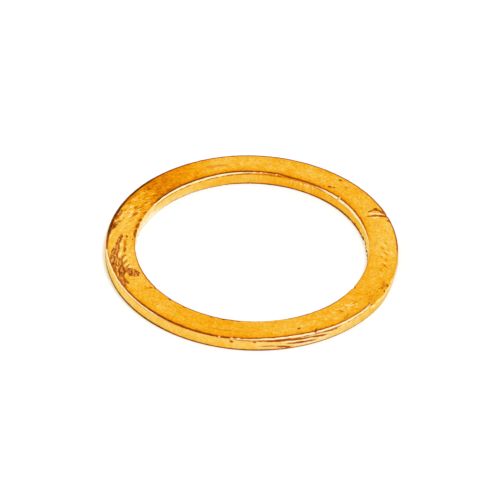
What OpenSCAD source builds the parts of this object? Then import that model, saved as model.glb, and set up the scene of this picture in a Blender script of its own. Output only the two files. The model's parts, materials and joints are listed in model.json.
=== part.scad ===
// Copper crush washer: a flat sealing ring stamped in one stroke from soft copper sheet.
// All sizes are in millimetres. The origin is the centre of the bore on the underside,
// and +Z runs up along the bore axis. The ring lies on its underside, with the two edges
// that the die rolled over facing up.

/* [Ring] */
// Diameter of the bore's sheared wall, which slips over a plug's thread
bore_d = 24; // [12:0.1:48]
// Width of the sealing face, from the bore to the outside
face_w = 3; // [2:0.1:6]
// Thickness of the copper sheet
thickness = 1.4; // [1:0.1:3]

/* [Stamped edges] */
// Radius that the die rolled onto the two upper edges
die_roll_r = 0.18; // [0.08:0.01:0.3]
// Height of the torn zone on each wall, measured from the underside
torn_h = 0.45; // [0.3:0.05:0.6]
// How far the torn zone stands out from the sheared wall at its lower end
torn_flare = 0.04; // [0.01:0.01:0.1]
// Flat that tumbling left on the two lower edges, measured along each face
edge_flat = 0.04; // [0.02:0.01:0.15]

/* [Hidden] */
bore_r = bore_d / 2;
outer_r = bore_r + face_w;
roll_z = thickness - die_roll_r;
// Facets of a full turn
turn_facets = 180;
// Facets of a rolled edge's circle
roll_facets = 48;

// One wall of the section, from the underside up to the start of the rolled edge.
// wall_r is the radius of the wall, and into points from the wall into the copper: 1 or -1.
function wall_points(wall_r, into) = [
    [wall_r + into * (edge_flat - torn_flare), 0],
    [wall_r - into * torn_flare, edge_flat],
    [wall_r, torn_h],
    [wall_r, roll_z],
    [wall_r + into * die_roll_r, thickness]
];

// A list in the opposite order.
function reversed(points) = [for (i = [len(points) - 1:-1:0]) points[i]];

// The ring's cross-section: radius along X, height along Y.
module ring_section() {
    union() {
        polygon(concat(wall_points(outer_r, -1), reversed(wall_points(bore_r, 1))));
        for (roll_r = [bore_r + die_roll_r, outer_r - die_roll_r])
            translate([roll_r, roll_z])
                circle(r = die_roll_r, $fn = roll_facets);
    }
}

module crush_washer() {
    color("#F4AE2E")
        rotate_extrude($fn = turn_facets)
            ring_section();
}

crush_washer();
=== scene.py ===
"""Copper crush washer: one ring stamped from soft copper sheet, worn and tarnished, on a white sweep.

The ring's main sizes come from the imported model. Lengths are millimetres unless a name says otherwise, and
the mesh is scaled to metres as it is stored. A bearing is an angle round the ring in degrees: 0 lies along
+X, and it grows counter-clockwise seen from above.
"""

from __future__ import annotations

import json
import logging
import math
from dataclasses import dataclass, replace
from enum import Enum
from functools import partial
from typing import Any, Callable

import bmesh
import bpy
import numpy as np
from mathutils import Matrix, Vector, noise

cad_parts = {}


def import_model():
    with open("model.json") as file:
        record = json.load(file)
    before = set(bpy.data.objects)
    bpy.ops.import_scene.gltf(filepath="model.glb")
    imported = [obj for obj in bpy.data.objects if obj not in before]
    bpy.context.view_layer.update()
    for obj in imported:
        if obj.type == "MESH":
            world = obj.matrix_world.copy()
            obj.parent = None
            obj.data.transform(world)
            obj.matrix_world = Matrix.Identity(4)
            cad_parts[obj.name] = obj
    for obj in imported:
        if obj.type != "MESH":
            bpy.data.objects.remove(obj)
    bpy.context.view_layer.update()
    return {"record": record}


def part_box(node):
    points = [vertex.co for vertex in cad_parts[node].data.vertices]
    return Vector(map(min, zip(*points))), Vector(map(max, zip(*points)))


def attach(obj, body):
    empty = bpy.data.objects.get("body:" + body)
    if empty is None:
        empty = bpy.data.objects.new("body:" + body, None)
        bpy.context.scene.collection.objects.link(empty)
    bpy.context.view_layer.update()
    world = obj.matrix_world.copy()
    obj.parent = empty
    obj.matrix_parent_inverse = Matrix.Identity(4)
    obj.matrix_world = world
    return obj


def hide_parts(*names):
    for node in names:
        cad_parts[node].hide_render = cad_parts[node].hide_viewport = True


LOG = logging.getLogger("crush_washer")
MM = 0.001
# Seed of the noise that frays the marks' outlines, which are the same in every run
FRAY_SEED = 6
# Something that changes round the ring, as pairs of bearing and value
Round = tuple[tuple[float, float], ...]


class Surface(Enum):
    """A surface of the ring that marks lie on."""

    TOP = "top face"
    OUTER_WALL = "outer wall"
    BORE_WALL = "bore wall"


class Look(Enum):
    """An attribute of the ring's mesh, which tells the finish how the copper looks at each vertex."""

    TONE = "copper_tone"
    WALL = "sheared_wall"
    FLECKS = "flecks"
    AMBER = "thin_tarnish"
    STAIN = "brown_stain"
    POLISH_AND_HIGHLIGHT = "burnished"
    OXIDE_AND_SHADE = "dark_oxide"


@dataclass(frozen=True)
class RingSizes:
    """The sizes of the ring's section.

    The torn zone is the lower part of a stamped wall, where the copper broke away instead of being cut.
    """

    bore_r: float
    outer_r: float
    thickness: float
    die_roll_r: float = 0.18
    torn_h: float = 0.45
    torn_flare: float = 0.04
    edge_flat: float = 0.04

    @property
    def mid_r(self) -> float:
        """Radius of the middle of the sealing face."""
        return (self.bore_r + self.outer_r) / 2

    def wall_corners(self, wall_r: float, into: int) -> list[tuple[float, float]]:
        """Gives one wall's corners from the underside up.

        Args:
            wall_r: Radius of the wall.
            into: 1 where the copper lies outside that radius, -1 where it lies inside.

        Returns:
            Pairs of radius and height.
        """
        return [
            (wall_r + into * (self.edge_flat - self.torn_flare), 0.0),
            (wall_r - into * self.torn_flare, self.edge_flat),
            (wall_r, self.torn_h),
            (wall_r, self.thickness),
        ]


@dataclass(frozen=True)
class Streak:
    """A mark that tapers to both ends.

    Each end has a bearing and a place across the surface: the radius on a face, the height on a wall. The
    width is the full width at the middle, and the depth is how far the mark is sunk into the copper.
    """

    from_bearing: float
    from_across: float
    to_bearing: float
    to_across: float
    width: float
    depth: float = 0.0


@dataclass(frozen=True)
class Marks:
    """A set of marks of one kind, and how they show.

    The ragged is how far their outlines wander. A mark fades out at one distance from its middle and is full
    at another, where 1 is its outline.
    """

    surface: Surface
    strength: float
    ragged: float
    fades: float
    full: float
    streaks: tuple[Streak, ...]

    @classmethod
    def drawn(cls, surface: Surface, *rows: tuple[float, ...], **shown: float) -> Marks:
        """Draws a set of marks.

        Args:
            surface: Surface that they lie on.
            rows: The fields of each streak, in their order.
            shown: The strength, ragged, fades and full of the set.

        Returns:
            The set.
        """
        return cls(surface, streaks=tuple(Streak(*row) for row in rows), **shown)


@dataclass(frozen=True)
class EdgeNick:
    """A knock on the upper edge of one wall: where it is, how large, and how much oxide lies in it."""

    wall: Surface
    bearing: float
    half_length: float
    reach: float
    depth: float
    dirt: float = 0.2


@dataclass(frozen=True)
class WornEdge:
    """How one wall and its rolled upper edge change round the ring.

    The roll is the width that a worn die gave the edge. A painted highlight lies along the roll, and painted
    shade darkens the parts of the roll that face away. The crease is the dark line where the face turns down,
    oxide in part and painted shade in part. It and the highlight end some way over the edge. A painted shade
    line lies just below the highlight, and a painted contact shadow lies at the bottom of the wall. The tone
    is the wall's own, except where painted light makes the bore's wall paler, near white on its left and pale
    at its right end. The fade is how much paler the wall is at the foot, painted light too on the left of the
    bore's wall, and the grain is how strongly its shear lines show. The burr is how far its lower edge was
    pushed out, or worn in where it is below 0.
    """

    roll: Round
    shine: Round
    highlight_end: Round
    roll_shade: Round
    crease_oxide_and_shade: Round
    crease_end: Round
    under_shade: Round
    foot_shadow: Round
    tone: Round
    fade: Round
    grain: Round
    burr: Round


OUTER_EDGE = WornEdge(
    roll=(
        (78, 0.08), (100, 0.09), (114, 0.16), (122, 0.20), (160, 0.18), (182, 0.16), (200, 0.20),
        (224, 0.20), (240, 0.13), (256, 0.07), (260, 0.08), (266, 0.17), (276, 0.27), (286, 0.29),
        (296, 0.18), (306, 0.10), (314, 0.12), (322, 0.13), (326, 0.22), (329, 0.42), (334, 0.50),
        (343, 0.50), (350, 0.36), (358, 0.18), (14, 0.07), (22, 0.04), (33, 0.03), (46, 0.05), (60, 0.08),
    ),
    # Painted highlight along the rolled edge
    shine=(
        (80, 0.1), (178, 0.1), (186, 1.0), (228, 1.0), (238, 0.2), (262, 0.2), (268, 0.5), (276, 1.0),
        (312, 1.0), (322, 0.9), (326, 0.1), (328, 0.0), (356, 0.0), (4, 0.1),
    ),
    highlight_end=(
        (80, 0.20), (186, 0.26), (228, 0.22), (262, 0.18), (270, 0.20), (284, 0.25), (300, 0.26),
        (310, 0.33), (327, 0.33), (356, 0.30), (20, 0.20),
    ),
    # Painted shade on the parts of the rolled edge that face away
    roll_shade=((80, 0.6), (176, 0.8), (184, 0.1), (345, 0.1), (5, 0.5), (30, 0.8), (60, 0.6)),
    # Darkness of the crease: oxide in part, painted shade in part
    crease_oxide_and_shade=(
        (80, 0.5), (120, 0.5), (132, 0.9), (176, 0.9), (182, 0.45), (192, 0.7), (210, 0.8), (228, 1.0),
        (300, 0.9), (308, 0.65), (319, 0.55), (325, 0.55), (328, 0.15), (352, 0.15), (10, 0.5), (25, 0.9),
        (40, 0.6),
    ),
    crease_end=(
        (80, 0.02), (180, 0.03), (200, 0.05), (230, 0.08), (245, 0.10), (261, 0.08), (266, 0.02),
        (300, 0.02), (308, 0.08), (320, 0.10), (326, 0.06), (330, 0.01),
    ),
    # Painted shade line just under the highlight
    under_shade=(
        (80, 0.2), (186, 0.1), (262, 0.2), (268, 0.6), (277, 0.7), (283, 1.0), (300, 1.0), (312, 0.9),
        (320, 0.7), (326, 0.0), (356, 0.0), (4, 0.2),
    ),
    # Painted contact shadow along the foot of the wall
    foot_shadow=(
        (80, 0.8), (184, 0.9), (192, 1.2), (206, 1.1), (232, 1.1), (242, 0.85), (258, 0.75), (275, 0.85),
        (290, 0.55), (315, 0.5), (340, 0.4), (0, 0.5), (60, 0.8),
    ),
    tone=(
        (80, 0.55), (180, 0.78), (200, 0.78), (212, 0.77), (226, 0.70), (238, 0.66), (260, 0.66),
        (275, 0.79), (286, 0.87), (298, 0.84), (317, 0.81), (324, 0.71), (330, 0.75), (344, 0.77),
        (352, 0.90), (2, 0.60),
    ),
    fade=((0, -0.06), (180, -0.06)),
    grain=((0, 0.35), (180, 0.25)),
    burr=((0, 0.0), (300, 0.0), (332, 0.02), (341, -0.10), (350, -0.16), (356, -0.08)),
)
BORE_EDGE = WornEdge(
    roll=(
        (78, 0.26), (103, 0.22), (112, 0.12), (124, 0.07), (150, 0.05), (190, 0.03), (298, 0.03),
        (312, 0.12), (330, 0.12), (342, 0.07), (15, 0.07), (25, 0.11), (34, 0.16), (50, 0.18), (63, 0.12),
        (72, 0.07),
    ),
    # Painted highlight along the rolled edge
    shine=(
        (54, 0.7), (59, 0.2), (72, 0.0), (84, 0.1), (90, 0.35), (97, 1.0), (148, 1.0), (150, 0.1),
        (345, 0.0), (5, 0.3), (12, 1.0), (49, 1.0),
    ),
    highlight_end=(
        (72, 0.17), (90, 0.19), (108, 0.28), (130, 0.34), (150, 0.36), (200, 0.2), (350, 0.2), (12, 0.32),
        (28, 0.40), (44, 0.32), (54, 0.25),
    ),
    # Painted shade on the parts of the rolled edge that face away
    roll_shade=(
        (60, 0.0), (148, 0.0), (152, 0.3), (186, 0.5), (205, 1.0), (262, 0.9), (300, 0.4), (342, 0.3),
        (0, 0.1),
    ),
    # Darkness of the crease: oxide in part, painted shade in part
    crease_oxide_and_shade=(
        (80, 0.95), (96, 1.0), (146, 1.0), (150, 0.25), (186, 0.3), (205, 0.7), (250, 0.75), (275, 0.6),
        (300, 0.5), (350, 0.3), (4, 0.3), (12, 0.6), (22, 0.9), (44, 0.9), (50, 0.85), (72, 0.9),
    ),
    crease_end=(
        (80, 0.06), (100, 0.04), (147, 0.04), (152, 0.01), (345, 0.01), (12, 0.02), (44, 0.03), (54, 0.06),
        (60, 0.10), (70, 0.10),
    ),
    # Painted shade line just under the highlight
    under_shade=((72, 0.7), (80, 1.0), (126, 1.0), (146, 0.7), (150, 0.0), (0, 0.1), (22, 0.4), (50, 0.6)),
    # Painted contact shadow along the foot of the wall
    foot_shadow=(
        (80, 0.8), (96, 0.7), (108, 0.45), (128, 0.3), (148, 0.1), (180, 0.1), (0, 0.6), (10, 0.95),
        (25, 1.1), (48, 1.1), (60, 0.85),
    ),
    # Near white from 151 to 172 and pale about 5: painted light on the bore's wall, over its own tone
    tone=(
        (80, 0.50), (92, 0.58), (112, 0.60), (122, 0.68), (144, 0.73), (151, 0.86), (160, 0.94),
        (172, 0.97), (185, 0.60), (340, 0.60), (5, 0.86), (14, 0.78), (26, 0.66), (44, 0.53), (58, 0.51),
        (72, 0.47),
    ),
    # Paler foot from 122 to 176: painted light
    fade=(
        (80, -0.04), (108, 0.0), (122, 0.08), (150, 0.20), (162, 0.28), (176, 0.28), (200, 0.0), (0, 0.0),
        (20, -0.04),
    ),
    grain=(
        (80, 0.8), (96, 0.5), (106, 0.25), (150, 0.15), (180, 0.1), (0, 0.1), (20, 0.3), (46, 0.5),
        (62, 1.0),
    ),
    burr=(
        (60, 0.0), (90, 0.02), (115, 0.05), (140, 0.06), (152, 0.05), (159, 0.0), (166, -0.24),
        (178, -0.24), (186, 0.0), (350, 0.0), (358, 0.12), (6, 0.20), (12, 0.15), (20, 0.10), (30, 0.07),
        (40, 0.02),
    ),
)
# Tone of the two faces round the ring, from amber to pale gold
FACE_TONE: Round = (
    (80, 0.56), (104, 0.61), (112, 0.50), (119, 0.31), (130, 0.20), (140, 0.12), (145, 0.33), (151, 0.48),
    (160, 0.62), (172, 0.65), (212, 0.57), (238, 0.51), (256, 0.44), (268, 0.48), (285, 0.54), (315, 0.53),
    (330, 0.45), (345, 0.54), (0, 0.65), (18, 0.63), (36, 0.56), (46, 0.54), (60, 0.56),
)
# Warm shade beside the two creases
OUTER_WARMTH: Round = (
    (80, 0.3), (200, 0.4), (230, 1.0), (255, 1.25), (300, 1.2), (318, 0.7), (330, 0.1), (0, 0.1),
)
BORE_WARMTH: Round = (
    (80, 1.6), (92, 1.4), (105, 2.2), (120, 0.6), (150, 1.2), (180, 0.4), (212, 0.0), (325, 0.0), (10, 0.7),
    (25, 1.4), (60, 1.8),
)
# Painted shade: thin dark outlines along the two edges, black at the far left of the outer one
OUTER_OUTLINE_SHADE: Round = (
    (356, 0.0), (14, 0.4), (22, 0.6), (34, 0.65), (46, 0.6), (100, 0.65), (112, 0.6), (124, 0.6),
    (140, 1.0), (172, 1.0), (179, 0.5), (186, 0.0),
)
BORE_OUTLINE_SHADE: Round = (
    (0, 0.0), (174, 0.0), (184, 0.2), (200, 0.35), (206, 0.6), (213, 0.6), (221, 0.15), (230, 0.15),
    (238, 0.5), (250, 0.6), (262, 0.7), (267, 0.1), (280, 0.1), (292, 0.4), (312, 0.4), (326, 0.1),
    (350, 0.1),
)

# Zones in which the sheet's grain shows as dark and pale flecks
FLECKED_ZONES = Marks.drawn(
    Surface.TOP,
    (135, 13.4, 168, 13.3, 2.8),
    (309, 13.4, 325, 13.6, 0.8),
    strength=0.95, ragged=0.5, fades=1.1, full=0.5,
)
# Brown stain on the left: an upper streak, its broad body, a hook that turns inwards, and a patch on the edge
BROWN_STAIN = Marks.drawn(
    Surface.TOP,
    (174.2, 13.42, 192, 14.25, 0.46),
    (184, 14.10, 200, 14.85, 0.66),
    (187, 14.40, 210, 14.60, 0.90),
    (189, 14.00, 204, 14.15, 0.84),
    (191, 13.65, 200, 13.95, 0.50),
    (189.2, 13.18, 193.2, 13.85, 0.24),
    (183.8, 13.07, 187.4, 13.13, 0.30),
    (198.9, 13.70, 204.2, 12.48, 1.00),
    (201.5, 13.60, 205.4, 12.70, 0.66),
    (205.0, 14.35, 208.4, 14.14, 0.40),
    (159.2, 14.46, 166.2, 14.52, 0.38),
    (165.8, 14.08, 172.4, 14.52, 0.40),
    (166.8, 14.60, 177, 14.76, 0.36),
    strength=1.0, ragged=0.10, fades=1.35, full=0.65,
)
# Bare copper that the stain has left free
STAIN_GAPS = Marks.drawn(
    Surface.TOP,
    (184.4, 13.52, 192.2, 13.74, 0.30),
    (188.2, 14.10, 190.4, 14.20, 0.15),
    (192.8, 14.04, 195.6, 14.20, 0.17),
    (195.8, 14.30, 198.8, 14.44, 0.17),
    (202.4, 13.92, 207.0, 13.98, 0.26),
    (199.8, 14.50, 203.2, 14.66, 0.20),
    strength=0.8, ragged=0.08, fades=1.3, full=0.7,
)
# Thin amber tarnish
AMBER_PATCHES = Marks.drawn(
    Surface.TOP,
    (203, 14.3, 209, 14.2, 0.60),
    (160, 12.25, 178.5, 12.15, 0.44),
    (130, 14.62, 166, 14.58, 0.46),
    (176, 12.95, 186, 13.08, 0.34),
    (157.6, 12.95, 161.4, 13.10, 0.40),
    (102, 13.4, 113, 13.7, 0.44),
    (131, 13.2, 141, 13.5, 0.60),
    (252, 13.82, 268, 13.75, 0.16),
    (311.5, 14.62, 314.8, 14.45, 0.36),
    (45.8, 14.0, 48.2, 13.85, 0.26),
    (24.4, 14.8, 27.0, 14.55, 0.46),
    (336, 14.7, 341, 14.4, 0.34),
    (326, 14.5, 332, 14.35, 0.26),
    strength=0.85, ragged=0.12, fades=1.3, full=0.4,
)
# Thin strokes of a deeper gold, beside the stain and on the right
GOLD_STROKES = Marks.drawn(
    Surface.TOP,
    (178.6, 13.03, 183.8, 13.08, 0.26),
    (3.2, 13.20, 0.2, 13.70, 0.24),
    (0.6, 13.48, 356.8, 13.92, 0.20),
    (355.4, 13.62, 353.0, 14.02, 0.20),
    (351.6, 13.52, 349.2, 14.16, 0.26),
    (6.6, 13.54, 5.0, 13.90, 0.18),
    (357.0, 13.10, 355.4, 13.50, 0.16),
    (348.0, 13.40, 346.0, 13.80, 0.18),
    strength=0.42, ragged=0.04, fades=1.3, full=0.5,
)
# Small brown specks on the top face, with short strokes beside the stain and in the long scratch
BROWN_SPECKS = Marks.drawn(
    Surface.TOP,
    (158.0, 12.94, 160.9, 13.10, 0.24, 0.008),
    (155.0, 12.66, 156.6, 12.78, 0.18, 0.008),
    (151.6, 12.90, 153.4, 13.00, 0.18, 0.008),
    (147.4, 13.20, 148.9, 13.32, 0.18, 0.008),
    (142.2, 12.82, 144.3, 12.88, 0.26, 0.008),
    (328.9, 13.82, 329.9, 13.80, 0.15, 0.010),
    (330.6, 13.90, 331.4, 13.98, 0.14, 0.010),
    (327.9, 14.58, 328.8, 14.60, 0.15, 0.010),
    (324.9, 14.68, 325.8, 14.70, 0.15, 0.010),
    (332.6, 14.46, 333.5, 14.50, 0.16, 0.010),
    (333.3, 14.18, 334.0, 14.24, 0.14, 0.010),
    (331.0, 14.74, 332.0, 14.80, 0.14, 0.010),
    (328.4, 14.18, 329.2, 14.22, 0.14, 0.010),
    (327.1, 14.28, 327.9, 14.32, 0.14, 0.010),
    (335.0, 14.40, 335.8, 14.46, 0.14, 0.010),
    (313.0, 14.40, 313.9, 14.46, 0.16, 0.010),
    (310.8, 14.66, 311.8, 14.68, 0.16, 0.010),
    (315.1, 14.72, 316.0, 14.74, 0.15, 0.010),
    (318.6, 12.52, 319.4, 12.56, 0.15, 0.010),
    (290.4, 13.92, 292.4, 13.80, 0.30, 0.010),
    (188.9, 13.02, 191.4, 13.56, 0.22),
    (192.6, 13.02, 196.2, 13.68, 0.24),
    (195.9, 12.90, 198.4, 13.58, 0.24),
    (198.9, 12.78, 200.2, 13.26, 0.17),
    (201.6, 12.40, 205.0, 12.46, 0.14),
    (214.4, 13.14, 216.1, 12.20, 0.17, 0.008),
    (26.6, 14.50, 24.0, 14.86, 0.36, 0.010),
    strength=0.5, ragged=0.06, fades=1.4, full=0.7,
)
# Small dark pits on the top face
DARK_SPECKS = Marks.drawn(
    Surface.TOP,
    (45.4, 12.34, 44.4, 12.30, 0.16, 0.010),
    (51.7, 12.90, 53.6, 12.76, 0.30, 0.025),
    (50.1, 13.1, 51.5, 13.0, 0.20, 0.015),
    (51.2, 14.48, 52.8, 14.36, 0.25, 0.015),
    (175.5, 12.95, 177.1, 12.88, 0.20, 0.012),
    (161.5, 12.12, 163.9, 12.18, 0.30, 0.014),
    (165.0, 12.02, 169.4, 12.20, 0.27, 0.014),
    (170.2, 12.14, 172.4, 12.02, 0.26, 0.014),
    (172.4, 12.22, 177.2, 12.00, 0.22, 0.014),
    (177.5, 12.32, 178.8, 12.28, 0.16, 0.010),
    (215.0, 12.55, 216.3, 12.42, 0.19, 0.012),
    (206.9, 14.32, 208.0, 14.18, 0.19, 0.012),
    (290.8, 13.92, 292.4, 13.8, 0.22, 0.020),
    (335.8, 14.62, 337.0, 14.66, 0.17, 0.012),
    strength=0.78, ragged=0.06, fades=1.3, full=0.8,
)
# Scratches with torn, darkened copper in them
DARK_SCRATCHES = Marks.drawn(
    Surface.TOP,
    (25.7, 12.90, 24.2, 14.20, 0.22, 0.030),
    (25.0, 13.70, 22.1, 15.05, 0.26, 0.030),
    (27.4, 14.42, 29.4, 14.16, 0.46, 0.022),
    (28.4, 14.20, 28.2, 13.35, 0.19, 0.020),
    (24.8, 14.90, 28.4, 14.32, 0.22, 0.020),
    (18.9, 14.9, 20.0, 14.66, 0.20, 0.015),
    (296.7, 15.0, 298.2, 14.5, 0.19, 0.032),
    strength=0.8, ragged=0.06, fades=1.3, full=0.8,
)
# Scratches that left bright copper, and painted glints where the two edges were knocked
PALE_SCRATCHES_AND_GLINTS = Marks.drawn(
    Surface.TOP,
    (27.4, 13.15, 25.6, 14.20, 0.24, 0.008),
    (26.4, 13.75, 23.8, 14.75, 0.24, 0.008),
    (24.4, 13.2, 22.6, 14.3, 0.14, 0.006),
    (44.9, 12.14, 42.7, 12.12, 0.40),
    (90.9, 12.12, 89.7, 12.12, 0.18),
    (87.6, 12.12, 86.4, 12.12, 0.20),
    (85.2, 12.12, 84.2, 12.12, 0.18),
    (79.9, 12.12, 78.9, 12.12, 0.20),
    (257.8, 14.92, 259.0, 14.92, 0.24),
    (262.5, 14.91, 264.3, 14.90, 0.32),
    (265.0, 14.90, 267.0, 14.88, 0.24),
    (268.2, 14.92, 269.4, 14.92, 0.20),
    strength=0.8, ragged=0.05, fades=1.2, full=0.4,
)
# Fainter pale flecks
PALE_FLECKS = Marks.drawn(
    Surface.TOP,
    (95.2, 14.3, 97.0, 13.1, 0.12),
    (157.5, 13.3, 162.5, 13.55, 0.16),
    (160.0, 14.05, 166.0, 14.16, 0.20),
    (172.5, 14.5, 178.5, 14.62, 0.18),
    (205.6, 13.6, 206.4, 12.6, 0.14),
    (181.0, 13.28, 183.2, 13.52, 0.22),
    (186.5, 13.45, 191.2, 13.85, 0.26),
    (190.2, 12.86, 193.4, 13.52, 0.20),
    (194.5, 12.92, 197.3, 13.60, 0.20),
    (197.5, 12.80, 199.3, 13.44, 0.18),
    (322.9, 13.06, 324.2, 13.14, 0.22),
    (318.6, 13.52, 322.0, 13.96, 0.28),
    (316.4, 13.60, 318.8, 13.86, 0.20),
    (309.2, 13.18, 310.6, 13.28, 0.20),
    (313.4, 13.80, 314.8, 13.92, 0.20),
    (304.0, 13.60, 305.4, 13.70, 0.18),
    (299.0, 13.34, 300.4, 13.46, 0.20),
    (306.0, 13.36, 307.4, 13.50, 0.22),
    (312.0, 13.04, 313.2, 13.16, 0.20),
    (315.0, 13.20, 316.4, 13.36, 0.22),
    (320.4, 13.24, 321.8, 13.38, 0.22),
    (308.0, 14.02, 309.4, 14.14, 0.20),
    (1.8, 13.34, 358.7, 14.04, 0.20),
    (358.3, 13.18, 356.4, 13.98, 0.18),
    (353.0, 13.50, 351.2, 14.06, 0.18),
    (5.2, 13.50, 3.4, 13.74, 0.14),
    strength=0.25, ragged=0.04, fades=1.3, full=0.5,
)
# Dark scored lines on the near outer wall, and small pits along it
WALL_SCORES = Marks.drawn(
    Surface.OUTER_WALL,
    (276.5, 1.17, 287, 1.09, 0.19, 0.045),
    (284, 1.12, 295.5, 0.93, 0.22, 0.045),
    (285.5, 0.68, 296.8, 0.42, 0.21, 0.045),
    (294.3, 1.0, 301.8, 0.64, 0.21, 0.045),
    (274.5, 0.58, 280.5, 0.52, 0.13, 0.025),
    (281, 0.44, 286.5, 0.24, 0.19, 0.030),
    (299.5, 1.12, 307, 0.92, 0.13, 0.025),
    (262.6, 1.0, 264.0, 1.0, 0.28, 0.040),
    (271.7, 1.15, 272.8, 1.05, 0.20, 0.030),
    (274.0, 1.25, 275.2, 1.2, 0.16, 0.020),
    (339.0, 1.20, 340.1, 1.13, 0.24, 0.015),
    (335.6, 1.11, 336.5, 1.05, 0.19, 0.010),
    (325.4, 1.22, 326.2, 1.17, 0.13, 0.010),
    strength=0.77, ragged=0.04, fades=1.4, full=0.8,
)
# Thin tarnish round the scored lines
SCORE_HALOS = replace(WALL_SCORES, strength=0.2, ragged=0.08, fades=2.0, full=1.0)
# Bright ridges that the scoring threw up, and pale streaks on the wall at the right end
WALL_RIDGES = Marks.drawn(
    Surface.OUTER_WALL,
    (324.8, 0.94, 329.0, 0.62, 0.28),
    (328.8, 1.00, 333.2, 0.70, 0.36),
    (332.8, 0.74, 337.6, 0.52, 0.32),
    (335.8, 1.00, 340.2, 0.74, 0.30),
    (339.0, 0.80, 344.4, 0.48, 0.42),
    (342.2, 1.04, 346.0, 0.82, 0.28),
    (283, 0.92, 297, 0.70, 0.16),
    (288, 0.42, 301, 0.22, 0.18),
    (296, 0.55, 304, 0.40, 0.16),
    strength=0.9, ragged=0.09, fades=1.2, full=0.5,
)
# Short bright lines across the bore's wall, left by the punch
PUNCH_LINES = Marks.drawn(
    Surface.BORE_WALL,
    (59.9, 1.28, 59.9, 0.92, 0.14),
    (62.5, 1.26, 62.6, 0.84, 0.20),
    (64.3, 1.24, 64.3, 0.90, 0.14),
    (66.6, 1.20, 66.5, 0.76, 0.20),
    (68.6, 1.20, 68.6, 0.94, 0.16),
    (71.4, 1.18, 71.4, 0.96, 0.12),
    strength=0.6, ragged=0.04, fades=1.3, full=0.5,
)
# Knocks on the two upper edges
EDGE_NICKS = (
    EdgeNick(Surface.BORE_WALL, 44.2, 0.20, 0.20, 0.07, 0.3),
    EdgeNick(Surface.BORE_WALL, 76, 0.35, 0.20, 0.05),
    EdgeNick(Surface.BORE_WALL, 149, 0.40, 0.20, 0.06),
    EdgeNick(Surface.BORE_WALL, 162.4, 0.35, 0.20, 0.05, 0.4),
    EdgeNick(Surface.BORE_WALL, 167.0, 0.80, 0.24, 0.06, 0.5),
    EdgeNick(Surface.BORE_WALL, 173.2, 1.10, 0.22, 0.05, 0.45),
    EdgeNick(Surface.BORE_WALL, 217, 0.40, 0.20, 0.04, 0.7),
    EdgeNick(Surface.BORE_WALL, 228, 0.40, 0.22, 0.03, 0.9),
    EdgeNick(Surface.BORE_WALL, 236.7, 0.30, 0.20, 0.02, 0.8),
    EdgeNick(Surface.BORE_WALL, 251.5, 0.35, 0.22, 0.02, 0.9),
    EdgeNick(Surface.BORE_WALL, 257.3, 0.40, 0.22, 0.02, 0.9),
    EdgeNick(Surface.BORE_WALL, 264.7, 0.30, 0.20, 0.02, 0.8),
    EdgeNick(Surface.BORE_WALL, 330.5, 0.32, 0.22, 0.09, 0.7),
    EdgeNick(Surface.OUTER_WALL, 258, 0.22, 0.22, 0.06),
    EdgeNick(Surface.OUTER_WALL, 263.3, 0.25, 0.26, 0.08),
    EdgeNick(Surface.OUTER_WALL, 267, 0.30, 0.22, 0.05),
    EdgeNick(Surface.OUTER_WALL, 297.5, 0.30, 0.30, 0.08),
    EdgeNick(Surface.OUTER_WALL, 338.5, 0.45, 0.26, 0.06),
    EdgeNick(Surface.OUTER_WALL, 23, 0.45, 0.24, 0.06),
)


def linear(hex_colour: str) -> tuple[float, float, float, float]:
    """Turns an sRGB hex colour into linear RGBA.

    Args:
        hex_colour: Colour such as "#F5B228".

    Returns:
        Red, green, blue and an alpha of 1, as Blender's sockets take them.
    """
    channels = [int(hex_colour[i:i + 2], 16) / 255 for i in (1, 3, 5)]
    red, green, blue = (c / 12.92 if c <= 0.04045 else ((c + 0.055) / 1.055) ** 2.4 for c in channels)
    return red, green, blue, 1.0


def add_node(
    tree: bpy.types.NodeTree,
    kind: str,
    *inputs: Any,
    named: dict[str, Any] | None = None,
    stops: tuple[tuple[float, Any], ...] = (),
    **settings: Any,
) -> bpy.types.Node:
    """Adds one node, sets its options, and fills or links its sockets.

    Args:
        tree: Tree that gets the node.
        kind: Name of the node type after "ShaderNode".
        inputs: Values, nodes or outputs for the sockets in use, in their order. None skips a socket.
        named: Values, nodes or outputs for sockets by name.
        stops: Position and linear colour of each stop, for a colour ramp.
        settings: The node's own options.

    Returns:
        The new node.
    """
    node = tree.nodes.new("ShaderNode" + kind)
    for name, value in settings.items():
        setattr(node, name, value)
    sockets = [socket for socket in node.inputs if socket.enabled]
    filled = list(zip(sockets, inputs))
    filled += [(next(s for s in sockets if s.name == name), value) for name, value in (named or {}).items()]
    for socket, value in filled:
        if isinstance(value, bpy.types.Node):
            value = next(output for output in value.outputs if output.enabled)
        if isinstance(value, bpy.types.NodeSocket):
            tree.links.new(value, socket)
        elif value is not None:
            socket.default_value = value
    for number, (position, colour) in enumerate(stops):
        elements = node.color_ramp.elements
        element = elements[number] if number < 2 else elements.new(position)
        element.position = position
        element.color = colour
    return node


def blank_tree(block: bpy.types.Material | bpy.types.World) -> Callable[..., bpy.types.Node]:
    """Gives a material or a world an empty node tree.

    Args:
        block: The material or world.

    Returns:
        Function that adds a node to the tree.
    """
    block.use_nodes = True
    block.node_tree.nodes.clear()
    return partial(add_node, block.node_tree)


def add_object(name: str, data: bpy.types.ID) -> bpy.types.Object:
    """Makes an object and links it to the scene.

    Args:
        name: Name of the object.
        data: Its mesh, lamp or camera.

    Returns:
        The object.
    """
    made = bpy.data.objects.new(name, data)
    bpy.context.scene.collection.objects.link(made)
    return made


def ease(value: np.ndarray, start: float, end: float) -> np.ndarray:
    """Goes smoothly from 0 where the value is at start to 1 where it is at end.

    Args:
        value: Values to read.
        start: Value at which the result is 0.
        end: Value at which the result is 1.

    Returns:
        One result for each value.
    """
    share = np.clip((value - start) / (end - start), 0, 1)
    return share * share * (3 - 2 * share)


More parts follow.
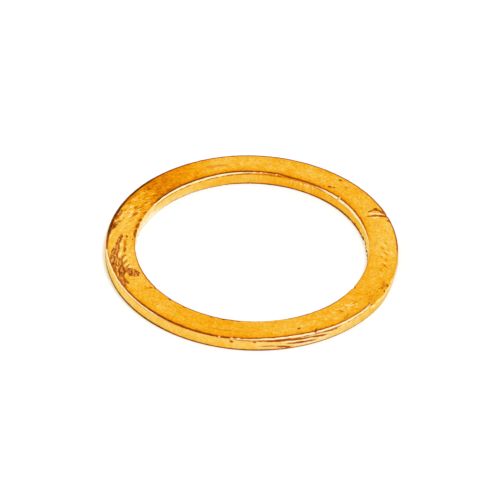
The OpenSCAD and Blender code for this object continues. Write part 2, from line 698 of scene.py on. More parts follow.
class SurfacePoints:
    """Where the ring's vertices lie, in the terms that its marks are given in."""

    # Frequencies of the noise to the millimetre: broad waves, fine grain, and what frays an outline
    BROAD = 0.45
    FINE = 2.2
    FRAYED = (2.5, 6.0)
    # How deep the marks of a face or a wall reach over its edge: at least, and as a share of the roll
    FACE_EDGE = 0.09
    WALL_EDGE = 0.14
    ROLL_SHARE = 0.3
    # Marks on a wall stay this far below the face
    WALL_TOP = 0.05
    # A nick's hollow ends at this multiple of its reach
    HOLLOW_END = 1.6

    def __init__(self, ring: RingSizes, points: np.ndarray) -> None:
        """Works out the places.

        Args:
            ring: The ring's sizes.
            points: One row of X, Y and Z for each vertex.
        """
        self.ring = ring
        self.radius = np.hypot(points[:, 0], points[:, 1])
        self.bearing = np.degrees(np.arctan2(points[:, 1], points[:, 0]))
        self.height = points[:, 2].copy()
        self.depth = ring.thickness - self.height
        self.outer = self.radius > ring.mid_r
        self.inset = np.minimum(self.radius - ring.bore_r, ring.outer_r - self.radius)
        self.roll = self.per_edge(OUTER_EDGE.roll, BORE_EDGE.roll)
        # Distance over the rolled edge: below 0 on the face, 0 at the crease, and growing down the wall
        round_roll = np.arctan2(np.maximum(self.roll - self.inset, 0), np.maximum(self.roll - self.depth, 0))
        beyond_roll = np.maximum(self.depth - self.roll, 0) - np.maximum(self.inset - self.roll, 0)
        self.over = self.roll * round_roll + beyond_roll
        places = [Vector(point) for point in points]
        self.broad = np.array([noise.noise(place * self.BROAD) for place in places])
        self.fine = np.array([noise.noise(place * self.FINE) for place in places])
        coarse, small = self.FRAYED
        self.ragged = np.array([
            noise.noise_vector(place * coarse) + noise.noise_vector(place * small) / 2 for place in places
        ])

    def round_ring(self, values: Round) -> np.ndarray:
        """Reads something that changes round the ring at each vertex."""
        bearings, at_bearings = zip(*values)
        return np.interp(self.bearing, bearings, at_bearings, period=360)

    def per_edge(self, outer: Round, bore: Round) -> np.ndarray:
        """Reads one of two things that change round the ring, by the half that a vertex lies in."""
        return np.where(self.outer, self.round_ring(outer), self.round_ring(bore))

    def on(self, surface: Surface) -> np.ndarray:
        """Tells which vertices lie on a surface or on the rolled edge beside it.

        Args:
            surface: The surface.

        Returns:
            True or False for each vertex.
        """
        over_edge = self.ROLL_SHARE * self.roll
        if surface is Surface.TOP:
            return self.depth < np.maximum(self.FACE_EDGE, over_edge)
        on_wall = (self.inset < np.maximum(self.WALL_EDGE, over_edge)) & (self.depth > self.WALL_TOP)
        return on_wall & (self.outer == (surface is Surface.OUTER_WALL))

    def run_from(self, bearing: float) -> np.ndarray:
        """Gives each vertex's distance round the ring from a bearing, at the middle of the face."""
        return np.radians((self.bearing - bearing + 180) % 360 - 180) * self.ring.mid_r

    def reach(self, streaks: tuple[Streak, ...], surface: Surface, ragged: float = 0.0) -> np.ndarray:
        """Measures how far each vertex is from the nearest of some streaks.

        Args:
            streaks: The streaks.
            surface: Surface that they lie on.
            ragged: How far their outlines wander.

        Returns:
            0 in the middle of a streak, 1 at its outline, and more outside it or off its surface.
        """
        across = self.radius if surface is Surface.TOP else self.height
        nearest = np.full(len(across), np.inf)
        for streak in streaks:
            sweep = (streak.to_bearing - streak.from_bearing + 180) % 360 - 180
            length = math.radians(sweep) * self.ring.mid_r
            climb = streak.to_across - streak.from_across
            slant = math.atan2(climb, length)
            half_length = max(math.hypot(length, climb), streak.width) / 2
            run = self.run_from(streak.from_bearing + sweep / 2) + ragged * self.ragged[:, 0]
            rise = across - (streak.from_across + streak.to_across) / 2 + ragged * self.ragged[:, 1]
            lengthwise = (run * math.cos(slant) + rise * math.sin(slant)) / half_length
            sideways = (rise * math.cos(slant) - run * math.sin(slant)) / (streak.width / 2)
            nearest = np.minimum(nearest, np.hypot(lengthwise, sideways))
        return np.where(self.on(surface), nearest, np.inf)

    def spread(self, marks: Marks) -> np.ndarray:
        """Gives how fully each vertex lies in a set of marks, from 0 to 1."""
        return ease(self.reach(marks.streaks, marks.surface, marks.ragged), marks.fades, marks.full)

    def cover(self, marks: Marks) -> np.ndarray:
        """Gives how strongly a set of marks shows at each vertex."""
        return marks.strength * self.spread(marks)

    def knock(self, nick: EdgeNick) -> np.ndarray:
        """Gives a nick's hollow: 1 at its deepest, 0 outside it.

        Args:
            nick: The nick.

        Returns:
            Share of the nick's depth at each vertex.
        """
        along = np.clip(1 - (self.run_from(nick.bearing) / nick.half_length) ** 2, 0, 1) ** 2
        across = np.clip(self.HOLLOW_END - np.hypot(self.inset, self.depth) / nick.reach, 0, 1)
        return along * across * (self.outer == (nick.wall is Surface.OUTER_WALL))


@dataclass
class Tarnish:
    """The polish, tarnish and dirt on the ring, with its painted highlights and painted shade, worked out at
    each vertex.

    The lines on the edges and walls blend into the copper over a few hundredths of a millimetre.
    """

    place: SurfacePoints
    # How deep the marks of the rolled edges reach, and how far their outlines wander
    upper_part: float = 0.7
    wander: float = 0.03
    # How strongly the sheet's grain shows outside the flecked zones
    plain_flecks: float = 0.15
    # How deep and how wide the broad and the narrow warm shade beside a crease are
    broad_shade: float = 0.16
    broad_width: float = 0.9
    narrow_shade: float = 0.14
    narrow_width: float = 0.35
    # Darkness of the creases, oxide in part and painted shade in part; of the painted shade under the
    # highlights and on the rolled edges that face away; and of the faintest painted shade lines
    crease_darkness: float = 0.95
    under_shade_depth: float = 0.75
    roll_shade_depth: float = 0.7
    faint_shade_depth: float = 0.6
    # Share of the crease's darkness, oxide and painted shade, that a bright scratch takes away
    scraped_off: float = 0.9
    # Width of a painted shade outline at full strength
    line_width: float = 0.17

    def looks(self) -> dict[Look, np.ndarray]:
        """Works out every attribute that the finish reads.

        Returns:
            Values for each attribute, mostly from 0 to 1.
        """
        place = self.place
        over = place.over + self.wander * place.fine
        past_roll = over - math.pi / 2 * place.roll
        wall = ease(past_roll, -0.03, 0.03) * ease(place.inset, 0.16, 0.12) * ease(place.height, 0, 0.03)
        rolled = ease(over, -0.03, 0.02) * ease(past_roll, 0.04, -0.02) * (place.depth < self.upper_part)
        flecks = self.plain_flecks + place.cover(FLECKED_ZONES)
        return {
            Look.TONE: self.tone(over, wall),
            Look.WALL: wall,
            Look.FLECKS: flecks + (place.per_edge(OUTER_EDGE.grain, BORE_EDGE.grain) - flecks) * wall,
            Look.AMBER: np.maximum(place.cover(AMBER_PATCHES), place.cover(SCORE_HALOS)),
            Look.STAIN: place.cover(BROWN_STAIN) * (1 - place.cover(STAIN_GAPS)),
            Look.POLISH_AND_HIGHLIGHT: self.polish_and_highlight(over),
            Look.OXIDE_AND_SHADE: self.oxide_and_shade(over, rolled),
        }

    def tone(self, over: np.ndarray, wall: np.ndarray) -> np.ndarray:
        """Gives the copper's tone, amber near the creases and paler on the sheared walls, with painted light
        on the bore's wall.

        Args:
            over: Distance over the rolled edge.
            wall: 1 on a wall, 0 on a face.

        Returns:
            Tone at each vertex.
        """
        place = self.place
        face = place.round_ring(FACE_TONE)
        warmth = place.per_edge(OUTER_WARMTH, BORE_WARMTH)
        broad = self.broad_shade * warmth * ease(over, -self.broad_width, 0.0)
        narrow = self.narrow_shade * np.minimum(warmth, 1) * ease(over, -self.narrow_width, 0.0)
        face -= broad + narrow
        face += place.cover(PALE_FLECKS)
        face -= place.cover(GOLD_STROKES)
        # Wall tone, with painted light that whitens the bore's wall on its left and at its right end
        walls = place.per_edge(OUTER_EDGE.tone, BORE_EDGE.tone)
        walls += place.per_edge(OUTER_EDGE.fade, BORE_EDGE.fade) * ease(place.height, 0.75, 0.15)
        return face + (walls - face) * wall

    def past_highlight(self, over: np.ndarray) -> np.ndarray:
        """Gives the distance past the end of the painted highlight on a rolled edge."""
        return over - self.place.per_edge(OUTER_EDGE.highlight_end, BORE_EDGE.highlight_end)

    def polish_and_highlight(self, over: np.ndarray) -> np.ndarray:
        """Gives the painted highlights of the rolled edges and knocked spots, and the polish of scratches
        that left bare copper.

        Args:
            over: Distance over the rolled edge.

        Returns:
            Polish and painted highlight at each vertex.
        """
        place = self.place
        upper = place.depth < self.upper_part
        # Painted highlight along each rolled edge
        band = ease(over, 0.0, 0.04) * ease(self.past_highlight(over), 0.03, -0.03) * upper
        edges = band * place.per_edge(OUTER_EDGE.shine, BORE_EDGE.shine)
        rubbed = [place.cover(marks) for marks in (PALE_SCRATCHES_AND_GLINTS, WALL_RIDGES, PUNCH_LINES)]
        return np.maximum.reduce([edges, *rubbed])

    def shade_line_depth(self, level: np.ndarray) -> np.ndarray:
        """Gives the darkness of a painted shade line by its level, from faint at 0 to full at 1."""
        return self.faint_shade_depth + (1 - self.faint_shade_depth) * level

    def oxide_and_shade(self, over: np.ndarray, rolled: np.ndarray) -> np.ndarray:
        """Gives the dark oxide in creases, hollows and scratches, and painted shade along the edges and
        walls.

        Args:
            over: Distance over the rolled edge.
            rolled: 1 on a rolled edge.

        Returns:
            Oxide and painted shade at each vertex, from a thin film at 0.3 to black at 1.
        """
        place = self.place
        upper = place.depth < self.upper_part
        # The crease's darkness: oxide in part, painted shade in part
        strength = place.per_edge(OUTER_EDGE.crease_oxide_and_shade, BORE_EDGE.crease_oxide_and_shade)
        crease_end = place.per_edge(OUTER_EDGE.crease_end, BORE_EDGE.crease_end)
        in_crease = ease(over / strength ** 2, -0.28, -0.04) * ease(over - crease_end, 0.05, 0.0)
        left = 1 - self.scraped_off * place.spread(PALE_SCRATCHES_AND_GLINTS)
        crease_oxide_and_shade = self.crease_darkness * strength * in_crease * upper * left
        # Painted shade line just under the highlight
        past_highlight = self.past_highlight(over)
        under_highlight = ease(past_highlight, -0.02, 0.03) * ease(past_highlight, 0.15, 0.09) * upper
        under_shade = self.under_shade_depth * under_highlight * (0.4 + 0.6 * ease(place.fine, -0.25, 0.1))
        under_shade *= place.per_edge(OUTER_EDGE.under_shade, BORE_EDGE.under_shade)
        # Painted contact shadow at the foot of each wall
        level = place.per_edge(OUTER_EDGE.foot_shadow, BORE_EDGE.foot_shadow)
        foot_shadow = self.shade_line_depth(level) * ease(place.height / level, 0.30, 0.13) * ease(place.inset, 0.25, 0.12)
        # Painted shade on the rolled edges that face away
        roll_shade = self.roll_shade_depth * rolled * place.per_edge(OUTER_EDGE.roll_shade, BORE_EDGE.roll_shade)
        # Painted shade outlining the edges
        level = place.per_edge(OUTER_OUTLINE_SHADE, BORE_OUTLINE_SHADE)
        past_line = place.inset - place.roll - self.line_width * level
        on_line = ease(past_line, 0.05, -0.01) * ease(place.depth, 0.2, 0.1)
        outline_shade = self.shade_line_depth(level) * ease(level, 0.0, 0.15) * on_line
        dark = [place.cover(marks) for marks in (BROWN_SPECKS, DARK_SPECKS, DARK_SCRATCHES, WALL_SCORES)]
        nicks = [nick.dirt * ease(place.knock(nick), 0.1, 0.6) for nick in EDGE_NICKS]
        return np.maximum.reduce([crease_oxide_and_shade, under_shade, foot_shadow, roll_shade, outline_shade, *dark, *nicks])


@dataclass(frozen=True)
class StampedCopper:
    """Soft copper sheet, blanked by a die, tumbled, and lightly heat tinted.

    The sheet's satin faces give a warm golden orange that wanders between amber and pale gold. The sheared
    walls are fresher and paler, the die left the two upper edges burnished and painted with highlights, and a
    dark line, oxide in part and painted shade in part, runs in the crease where each face turns down. Brown
    stains and scratches lie on top.
    """

    # The copper's own tones from thick tint to bare metal, each with its place on a scale of 0 to 1
    tones: tuple[tuple[float, str], ...] = (
        (0.00, "#BC5A02"), (0.16, "#E68604"), (0.34, "#F4A20C"), (0.43, "#F5AB14"), (0.50, "#F5B224"),
        (0.66, "#F7C44A"), (0.82, "#FAD57C"), (0.92, "#FCE2A4"), (1.00, "#FFF3D8"),
    )
    # The stain's tones along its own streaks, from burnt to thin
    stain_tones: tuple[tuple[float, str], ...] = (
        (0.40, "#7C2C00"), (0.46, "#AC4808"), (0.49, "#C66A26"), (0.515, "#D4803C"),
        (0.545, "#E6922A"), (0.59, "#FECA74"),
    )
    # Tones of the oxide and of the painted shade, from a thin film to a thick crust
    oxide_and_shade_tones: tuple[tuple[float, str], ...] = (
        (0.25, "#D68A0C"), (0.55, "#C05A00"), (0.80, "#A03C00"), (1.00, "#4A1A00"),
    )
    amber: str = "#D87C06"
    # Colour of the burnish and of the painted highlights on the edges
    burnish_and_highlight: str = "#FFF3C0"
    # Copper reflects less blue at a flat angle than a white metal does
    flat_angle_tint: str = "#FFF2BC"
    stain_rim: str = "#B04A00"
    # Sizes of the patterns
    cloud_mm: float = 2.4
    mottle_mm: float = 0.55
    speckle_mm: float = 0.22
    streak_length_mm: float = 0.95
    streak_width_mm: float = 0.24
    streak_slant_deg: float = 20.0
    striation_mm: float = 0.12
    striation_length_mm: float = 1.25
    # The unrolled pattern is cut open at this bearing, on the far side
    seam_bearing: float = 75.0
    # How far each pattern moves the tone, and how much the speckle darkens and lightens the colour
    dark_fleck: float = -0.56
    pale_fleck: float = 0.30
    dark_spot: float = -0.20
    pale_spot: float = 0.16
    shear_line: float = 0.12
    cloud_shift: float = 0.05
    mottle_shift: float = 0.07
    speckle_shade: tuple[float, float] = (0.93, 1.055)
    # Share of the speckle in the stain's tone, how far the patterns fray the stain, and how fully the stain,
    # its rim and the oxide hide what lies under them
    stain_speckle: float = 0.35
    stain_fray: float = 0.2
    stain_cover: float = 0.94
    rim_cover: float = 0.80
    oxide_and_shade_cover: float = 0.97
    satin_roughness: float = 0.34
    roughness_shift: float = 0.06
    stained_roughness: float = 0.50
    burnished_roughness: float = 0.20
    relief_mm: float = 0.005
    relief_strength: float = 0.4

    def build(self, ring: RingSizes) -> bpy.types.Material:
        """Makes the material.

        Args:
            ring: The ring's sizes, which set the scale of the unrolled patterns.

        Returns:
            The finished material.
        """
        material = bpy.data.materials.new("stamped_copper")
        add = blank_tree(material)
        smooth = {"interpolation_type": "SMOOTHSTEP"}
        multiply = {"operation": "MULTIPLY"}

        # Patterns over the sheet, along its streaks and down the sheared walls. A noise node takes a place,
        # a scale, its detail and its roughness, and gives values about 0.5, mostly from 0.3 to 0.7.
        point = add("VectorMath", add("TexCoord").outputs["Object"], 1 / MM, operation="SCALE")
        opposite_seam = math.radians(self.seam_bearing + 180)
        turned = add("VectorRotate", point, None, -opposite_seam, rotation_type="Z_AXIS")
        parts = add("SeparateXYZ", turned).outputs
        turn = add("Math", parts["Y"], parts["X"], operation="ARCTAN2")
        along = add("Math", turn, ring.mid_r, **multiply)
        level = add("VectorMath", point, (1, 1, 0), **multiply)
        radius = add("VectorMath", level, operation="LENGTH")
        unrolled = add("CombineXYZ", along, radius)
        slant = (0, 0, math.radians(self.streak_slant_deg))
        stretch = (self.streak_length_mm, self.streak_width_mm, 1)
        drawn = add("Mapping", unrolled, None, slant, stretch, vector_type="TEXTURE")
        streaks = add("TexNoise", drawn, 1.0, 2.0, 0.5)
        upright = add("CombineXYZ", along, parts["Z"])
        per_mm = (1 / self.striation_mm, 1 / self.striation_length_mm, 0)
        sheared = add("VectorMath", upright, per_mm, **multiply)
        striations = add("TexNoise", sheared, 1.0, 2.0, 0.6)
        mottle = add("TexNoise", point, 1 / self.mottle_mm, 3.0, 0.55)
        speckle = add("TexNoise", point, 1 / self.speckle_mm, 2.0, 0.6)
        wall = add("Attribute", attribute_name=Look.WALL.value).outputs["Fac"]

        # Tone of the bare copper
        cloud = add("TexNoise", point, 1 / self.cloud_mm, 3.0, 0.55)
        dark_flecks = add("MapRange", streaks, 0.47, 0.35, 0.0, self.dark_fleck, **smooth)
        pale_flecks = add("MapRange", streaks, 0.53, 0.65, 0.0, self.pale_fleck, **smooth)
        flecks = add("Math", dark_flecks, pale_flecks, operation="ADD")
        flecked = add("Attribute", attribute_name=Look.FLECKS.value).outputs["Fac"]
        flecks = add("Math", flecks, flecked, **multiply)
        for spots in (
            add("MapRange", speckle, 0.46, 0.26, 0.0, self.dark_spot, **smooth),
            add("MapRange", speckle, 0.54, 0.74, 0.0, self.pale_spot, **smooth),
        ):
            flecks = add("Math", flecks, spots, operation="ADD")
        lines = add("MapRange", striations, 0.30, 0.70, -self.shear_line, self.shear_line, **smooth)
        lines = add("Math", lines, flecked, **multiply)
        tone = add("Mix", wall, flecks, lines)
        for change in (
            add("MapRange", cloud, 0.3, 0.7, -self.cloud_shift, self.cloud_shift, **smooth),
            add("MapRange", mottle, 0.28, 0.72, -self.mottle_shift, self.mottle_shift, **smooth),
            add("Attribute", attribute_name=Look.TONE.value).outputs["Fac"],
        ):
            tone = add("Math", tone, change, operation="ADD")
        colour = add("ValToRGB", tone, stops=tuple((at, linear(shade)) for at, shade in self.tones))
        grain = add("MapRange", speckle, 0.30, 0.70, *self.speckle_shade)
        colour = add("VectorMath", colour, grain, operation="SCALE")

        # Thin amber tarnish
        amber = add("Attribute", attribute_name=Look.AMBER.value).outputs["Fac"]
        amber = add("Math", amber, add("MapRange", streaks, 0.60, 0.45, 0.5, 1.0, **smooth), **multiply)
        colour = add("Mix", amber, colour, linear(self.amber), data_type="RGBA")

        # Brown stain, drawn out along the streaks and darker at its rim
        stain = add("Attribute", attribute_name=Look.STAIN.value).outputs["Fac"]
        for ragged in (speckle, streaks):
            frayed = add("MapRange", ragged, 0.3, 0.7, self.stain_fray, -self.stain_fray)
            stain = add("Math", stain, frayed, operation="ADD")
        stained = add("MapRange", stain, 0.40, 0.60, 0.0, self.stain_cover, **smooth)
        burnt = add("Mix", self.stain_speckle, streaks, speckle)
        burnt = add("ValToRGB", burnt, stops=tuple((at, linear(shade)) for at, shade in self.stain_tones))
        rim = add("MapRange", stain, 1.00, 0.60, 0.0, self.rim_cover, **smooth)
        burnt = add("Mix", rim, burnt, linear(self.stain_rim), data_type="RGBA")
        colour = add("Mix", stained, colour, burnt, data_type="RGBA")

        # Burnished edges with painted highlights, bright scratches and painted glints, broken up by the
        # mottle
        polish_and_highlight = add("Attribute", attribute_name=Look.POLISH_AND_HIGHLIGHT.value).outputs["Fac"]
        broken = add("MapRange", mottle, 0.3, 0.5, 0.7, 1.0, **smooth)
        polish_and_highlight = add("Math", polish_and_highlight, broken, **multiply)
        colour = add("Mix", polish_and_highlight, colour, linear(self.burnish_and_highlight), data_type="RGBA")

        # Dark oxide and painted shade, thicker in the hollows of the mottle
        oxide_and_shade = add("Attribute", attribute_name=Look.OXIDE_AND_SHADE.value).outputs["Fac"]
        oxide_and_shade = add("Math", oxide_and_shade, add("MapRange", mottle, 0.3, 0.6, 1.1, 0.85), **multiply)
        crust_and_shade = add("ValToRGB", oxide_and_shade, stops=tuple((at, linear(shade)) for at, shade in self.oxide_and_shade_tones))
        covered = add("MapRange", oxide_and_shade, 0.05, 0.50, 0.0, self.oxide_and_shade_cover, **smooth)
        colour = add("Mix", covered, colour, crust_and_shade, data_type="RGBA")

        # Roughness and fine relief
        smoothest = self.satin_roughness - self.roughness_shift
        roughest = self.satin_roughness + self.roughness_shift
        roughness = add("MapRange", mottle, 0.3, 0.7, smoothest, roughest, **smooth)
        roughness = add("Mix", stained, roughness, self.stained_roughness)
        roughness = add("Mix", polish_and_highlight, roughness, self.burnished_roughness)
        face_relief = add("Math", streaks, speckle, operation="ADD")
        relief = add("Mix", wall, face_relief, striations)
        bump = add("Bump", named={
            "Strength": self.relief_strength, "Distance": self.relief_mm * MM, "Height": relief,
        })
        copper = add("BsdfPrincipled", named={
            "Base Color": colour, "Metallic": 1.0, "Roughness": roughness, "Normal": bump,
            "Specular Tint": linear(self.flat_angle_tint),
        })
        add("OutputMaterial", copper)
        return material


@dataclass
class CrushWasher:
    """The ring itself: the stamped section turned into a fine mesh, with its knocks pressed in."""

    ring: RingSizes
    finish: StampedCopper
    # Largest cells on the faces and walls, on the underside, and in the zones beside the creases
    cell: float = 0.1
    underside_cell: float = 0.3
    crease_cell: float = 0.05
    crease_zone: float = 0.48
    roll_segments: int = 8
    sectors: int = 16
    steps_per_sector: int = 64
    sharp_angle_deg: float = 34.0
    # Vertices nearer than this are one where the sectors meet
    merge_gap: float = 0.001
    # How deep a rolled edge's change of width reaches into the face and the wall
    roll_blend: float = 0.6
    # Roughness of the torn zones, and the height over which it begins
    torn_roughness: float = 0.018
    torn_start: float = 0.1
    # How high up the wall a burr begins, and how far the bore's burr is broken off in places
    burr_h: float = 0.8
    burr_jag: float = 2.2
    # Unevenness of the upper edges, and the distances from an edge at which it ends and is full
    edge_chatter: float = 0.022
    chatter_end: float = 0.22
    chatter_full: float = 0.08
    # Share of a nick's depth that is pressed in from the side, and again from above
    nick_share: float = 0.7
    face_wave: float = 0.006

    def build(self) -> None:
        """Makes the ring's object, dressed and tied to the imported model."""
        shape = bmesh.new()
        self.draw_section(shape)
        self.turn_section(shape)
        mesh = bpy.data.meshes.new("crush_washer_ring")
        shape.to_mesh(mesh)
        shape.free()
        self.wear(mesh)
        piece = add_object("stamped_ring", mesh)
        mesh.materials.append(self.finish.build(self.ring))
        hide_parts("crush_washer")
        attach(piece, "root")
        LOG.info("stamped_ring: %d faces", len(mesh.polygons))

    def draw_section(self, shape: bmesh.types.BMesh) -> None:
        """Draws the section as a closed loop, rounds its upper edges and divides it into cells.

        Args:
            shape: Mesh that gets the loop.
        """
        ring = self.ring
        bore_side = ring.wall_corners(ring.bore_r, 1) + [(ring.bore_r + self.crease_zone, ring.thickness)]
        outer_side = ring.wall_corners(ring.outer_r, -1) + [(ring.outer_r - self.crease_zone, ring.thickness)]
        for side in (bore_side, outer_side):
            side.insert(3, (side[3][0], ring.thickness - self.crease_zone))
        corners = bore_side + outer_side[::-1]
        loop = [shape.verts.new((radius, 0.0, height)) for radius, height in corners]
        for first, second in zip(loop, loop[1:] + loop[:1]):
            shape.edges.new((first, second))
        rolled = (bore_side[-2], outer_side[-2])
        upper = [vert for vert, corner in zip(loop, corners) if corner in rolled]
        bmesh.ops.bevel(
            shape, geom=upper, offset=ring.die_roll_r, segments=self.roll_segments, profile=0.5,
            affect="VERTICES", material=-1,
        )
        # The zone's own lower corner counts as inside it, whatever the rounding
        zone_bottom = ring.thickness - 1.01 * self.crease_zone
        for edge in list(shape.edges):
            length = edge.calc_length()
            heights = [vert.co.z for vert in edge.verts]
            cell = self.cell
            if max(heights) == 0:
                cell = self.underside_cell
            elif min(heights) > zone_bottom and length < self.crease_zone:
                cell = self.crease_cell
            cuts = math.ceil(length / cell) - 1
            if cuts > 0:
                bmesh.ops.subdivide_edges(shape, edges=[edge], cuts=cuts)

    def turn_section(self, shape: bmesh.types.BMesh) -> None:
        """Spins the section through one sector, copies that sector round and closes the ring.

        Args:
            shape: Mesh that holds the section.
        """
        sector = 2 * math.pi / self.sectors
        centre, axis = (0, 0, 0), (0, 0, 1)
        section = shape.verts[:] + shape.edges[:]
        bmesh.ops.spin(shape, geom=section, cent=centre, axis=axis, angle=sector, steps=self.steps_per_sector)
        bmesh.ops.spin(
            shape, geom=shape.verts[:] + shape.edges[:] + shape.faces[:], cent=centre, axis=axis,
            angle=2 * math.pi - sector, steps=self.sectors - 1, use_duplicate=True,
        )
        bmesh.ops.remove_doubles(shape, verts=shape.verts[:], dist=self.merge_gap)
        bmesh.ops.recalc_face_normals(shape, faces=shape.faces[:])

    def wear(self, mesh: bpy.types.Mesh) -> None:
        """Wears the ring: rolls its edges, presses the marks in, and notes the tarnish, painted highlights
        and painted shade on the mesh.

        Args:
            mesh: The ring's mesh in millimetres, which is left in metres.
        """
        points = np.empty(len(mesh.vertices) * 3)
        mesh.vertices.foreach_get("co", points)
        points = points.reshape(-1, 3)
        self.roll_edges(points)
        place = SurfacePoints(self.ring, points)
        for look, values in Tarnish(place).looks().items():
            attribute = mesh.attributes.new(look.value, "FLOAT", "POINT")
            attribute.data.foreach_set("value", values.astype(np.float32))
        self.press_marks(points, place)
        mesh.vertices.foreach_set("co", (points * MM).ravel())
        mesh.polygons.foreach_set("use_smooth", np.ones(len(mesh.polygons), dtype=bool))
        mesh.set_sharp_from_angle(angle=math.radians(self.sharp_angle_deg))
        mesh.update()

    def roll_edges(self, points: np.ndarray) -> None:
        """Widens and narrows the two rolled edges round the ring, as the worn die left them.

        Args:
            points: Places of the vertices, which are moved.
        """
        ring = self.ring
        place = SurfacePoints(ring, points)
        upper = place.depth < self.roll_blend

        def moved(distance: np.ndarray) -> np.ndarray:
            """Stretches the distance from an edge, so that the even roll gets its own width.

            Args:
                distance: Distance from the face or from the wall.

            Returns:
                The stretched distance.
            """
            within = distance / ring.die_roll_r * place.roll
            beyond = (distance - ring.die_roll_r) / (self.roll_blend - ring.die_roll_r)
            beyond = place.roll + beyond * (self.roll_blend - place.roll)
            stretched = np.where(distance < ring.die_roll_r, within, beyond)
            return np.where(upper & (distance < self.roll_blend), stretched, distance)

        inward = moved(place.inset) - place.inset
        radius = place.radius + np.where(place.outer, -inward, inward)
        points[:, :2] *= (radius / place.radius)[:, None]
        points[:, 2] = ring.thickness - moved(place.depth)

    def press_marks(self, points: np.ndarray, place: SurfacePoints) -> None:
        """Presses the face's waves, the torn zone's roughness and all marks into the copper.

        Args:
            points: Places of the vertices, which are moved.
            place: Where the vertices lay before any mark.
        """
        ring = self.ring
        burr = place.per_edge(OUTER_EDGE.burr, BORE_EDGE.burr)
        burr *= ease(place.height, self.burr_h, ring.edge_flat)
        burr *= 1 + np.clip(self.burr_jag * place.ragged[:, 2], -1, 0) * ~place.outer
        drop = self.face_wave * (place.broad + 1) / 2 * (place.depth < ring.die_roll_r)
        torn = ease(place.height, ring.torn_h, ring.torn_h - self.torn_start)
        torn *= place.height > ring.edge_flat / 2
        inward = self.torn_roughness * (place.fine + 1) / 2 * torn - burr * (place.inset < self.cell)
        on_edge = ease(np.hypot(place.inset, place.depth), self.chatter_end, self.chatter_full)
        chatter = self.edge_chatter * (place.fine + 1) / 2 * on_edge
        for nick in EDGE_NICKS:
            chatter += self.nick_share * nick.depth * place.knock(nick)
        for marks in (DARK_SCRATCHES, PALE_SCRATCHES_AND_GLINTS, DARK_SPECKS, BROWN_SPECKS, WALL_SCORES):
            sunk = drop if marks.surface is Surface.TOP else inward
            for streak in marks.streaks:
                sunk += streak.depth * ease(place.reach((streak,), marks.surface), 1.0, 0.0)
        inward += chatter
        drop += chatter
        radius = place.radius + np.where(place.outer, -inward, inward)
        points[:, :2] *= (radius / place.radius)[:, None]
        points[:, 2] -= drop


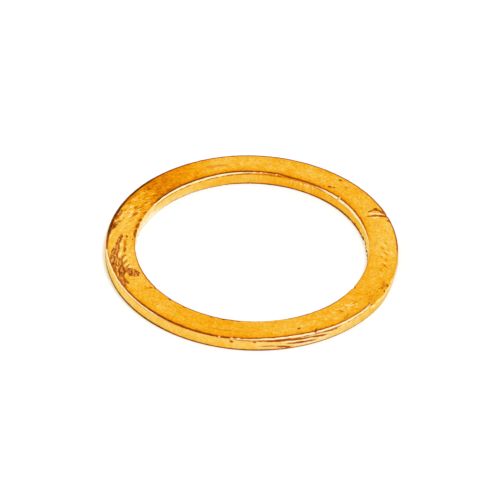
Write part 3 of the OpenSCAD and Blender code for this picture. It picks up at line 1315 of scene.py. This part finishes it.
@dataclass
class Studio:
    """A white sweep under a soft, even sky, with a large lamp high on the right."""

    floor_m: float = 4.0
    floor_gap_m: float = 0.00001
    floor_paint: str = "#E4E2DE"
    # What the card scatters and what it gives off where it is seen, which add up to white under the lamp
    scatter: float = 0.34
    glow: float = 0.56
    glow_colour: str = "#FFF0BF"
    # The lamp, whose soft shadow falls to the left of the ring. It is as cool as the card's glow is warm, so
    # the open floor is white and the shadow has the warm tint of the copper.
    lamp_strength: float = 4.1
    lamp_colour: str = "#A5C2FF"
    lamp_bearing: float = -28.0
    lamp_elevation: float = 74.0
    lamp_width_deg: float = 13.0
    # Pairs of the sine of the elevation and the sky's brightness there
    sky: tuple[tuple[float, float], ...] = (
        (0.0, 0.78), (0.25, 0.93), (0.55, 1.01), (0.70, 1.05), (1.0, 1.07),
    )

    def build(self) -> None:
        """Lays the floor and lights the room."""
        self.lay_floor()
        self.light_sky()
        self.hang_lamp()
        bpy.context.scene.view_settings.view_transform = "Standard"

    def lay_floor(self) -> None:
        """Makes the floor, which looks white where nothing shades it and keeps the ring's shadow."""
        shape = bmesh.new()
        bmesh.ops.create_grid(shape, x_segments=1, y_segments=1, size=self.floor_m / 2)
        bmesh.ops.translate(shape, verts=shape.verts[:], vec=(0, 0, -self.floor_gap_m))
        mesh = bpy.data.meshes.new("sweep")
        shape.to_mesh(mesh)
        shape.free()
        floor = add_object("sweep", mesh)
        material = bpy.data.materials.new("matt_white_card")
        add = blank_tree(material)
        # Matt card scatters light evenly. Seen directly or in the metal, it also glows up to white.
        card = add("BsdfDiffuse", linear(self.floor_paint))
        scattered = add("BsdfDiffuse", (self.scatter, self.scatter, self.scatter, 1.0))
        glow = add("Emission", linear(self.glow_colour), self.glow)
        white = add("AddShader", scattered, glow)
        path = add("LightPath").outputs
        seen = add("Math", path["Is Camera Ray"], path["Is Glossy Ray"], operation="MAXIMUM")
        seen = add("Math", seen, path["Is Transmission Ray"], operation="MAXIMUM")
        add("OutputMaterial", add("MixShader", seen, card, white))
        mesh.materials.append(material)
        LOG.info("sweep: floor laid")

    def light_sky(self) -> None:
        """Makes the soft sky, which the camera sees as plain white."""
        world = bpy.data.worlds.new("soft_sky")
        add = blank_tree(world)
        up = add("SeparateXYZ", add("TexCoord").outputs["Generated"]).outputs["Z"]
        stops = tuple((sine, (level, level, level, 1.0)) for sine, level in self.sky)
        sky = add("Background", add("ValToRGB", up, stops=stops), 1.0)
        plain = add("Background", (1, 1, 1, 1), 1.0)
        camera_ray = add("LightPath").outputs["Is Camera Ray"]
        add("OutputWorld", add("MixShader", camera_ray, sky, plain))
        bpy.context.scene.world = world
        LOG.info("soft_sky: lit")

    def hang_lamp(self) -> None:
        """Adds the lamp on the right."""
        data = bpy.data.lights.new("right_lamp", "SUN")
        data.energy = self.lamp_strength
        data.color = linear(self.lamp_colour)[:3]
        data.angle = math.radians(self.lamp_width_deg)
        lamp = add_object("right_lamp", data)
        # The lamp shades the floor and leaves no glare in the metal
        lamp.visible_glossy = False
        turned = Matrix.Rotation(math.radians(self.lamp_bearing), 4, "Z")
        tilted = Matrix.Rotation(math.radians(90 - self.lamp_elevation), 4, "Y")
        lamp.matrix_world = turned @ tilted
        LOG.info("right_lamp: hung")


@dataclass
class PhotoCamera:
    """The camera as it stood for the photograph: a long lens, looking down at the ring."""

    frame_px: int = 500
    # Where the middle of the ring's underside lies in the photograph
    ring_px: tuple[float, float] = (251.75, 256.95)
    elevation_deg: float = 39.25
    roll_deg: float = 2.17
    distance_mm: float = 1047.5
    lens_mm: float = 735.0
    sensor_mm: float = 36.0
    clip_start_m: float = 0.01

    def build(self) -> None:
        """Places the camera and makes it the scene's."""
        elevation, roll = math.radians(self.elevation_deg), math.radians(self.roll_deg)
        back = Vector((0, -math.cos(elevation), math.sin(elevation)))
        level_right = Vector((1, 0, 0))
        level_up = back.cross(level_right)
        right = level_right * math.cos(roll) + level_up * math.sin(roll)
        up = back.cross(right)
        mm_per_px = self.distance_mm * self.sensor_mm / self.lens_mm / self.frame_px
        off_right, off_down = (px - self.frame_px / 2 for px in self.ring_px)
        aim = up * (off_down * mm_per_px) - right * (off_right * mm_per_px)
        place = Matrix((right, up, back)).transposed().to_4x4()
        place.translation = (aim + back * self.distance_mm) * MM
        data = bpy.data.cameras.new("photo_camera")
        data.lens = self.lens_mm
        data.sensor_width = self.sensor_mm
        data.clip_start = self.clip_start_m
        camera = add_object("photo_camera", data)
        camera.matrix_world = place
        bpy.context.scene.camera = camera
        LOG.info("photo_camera: set %.0f mm away", self.distance_mm)


def main() -> None:
    """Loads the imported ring, reads its sizes, dresses it and sets the studio round it."""
    logging.basicConfig(level=logging.INFO, format="%(name)s: %(message)s")
    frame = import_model()
    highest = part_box("crush_washer")[1]
    bore = next(mount for mount in frame["record"]["mounts"] if mount["name"] == "bore")
    outer_r = highest[0] / MM - RingSizes.torn_flare
    ring = RingSizes(bore_r=bore["dims"]["r_mm"], outer_r=outer_r, thickness=highest[2] / MM)
    noise.seed_set(FRAY_SEED)
    PhotoCamera().build()
    CrushWasher(ring, StampedCopper()).build()
    Studio().build()


if __name__ == "__main__":
    main()
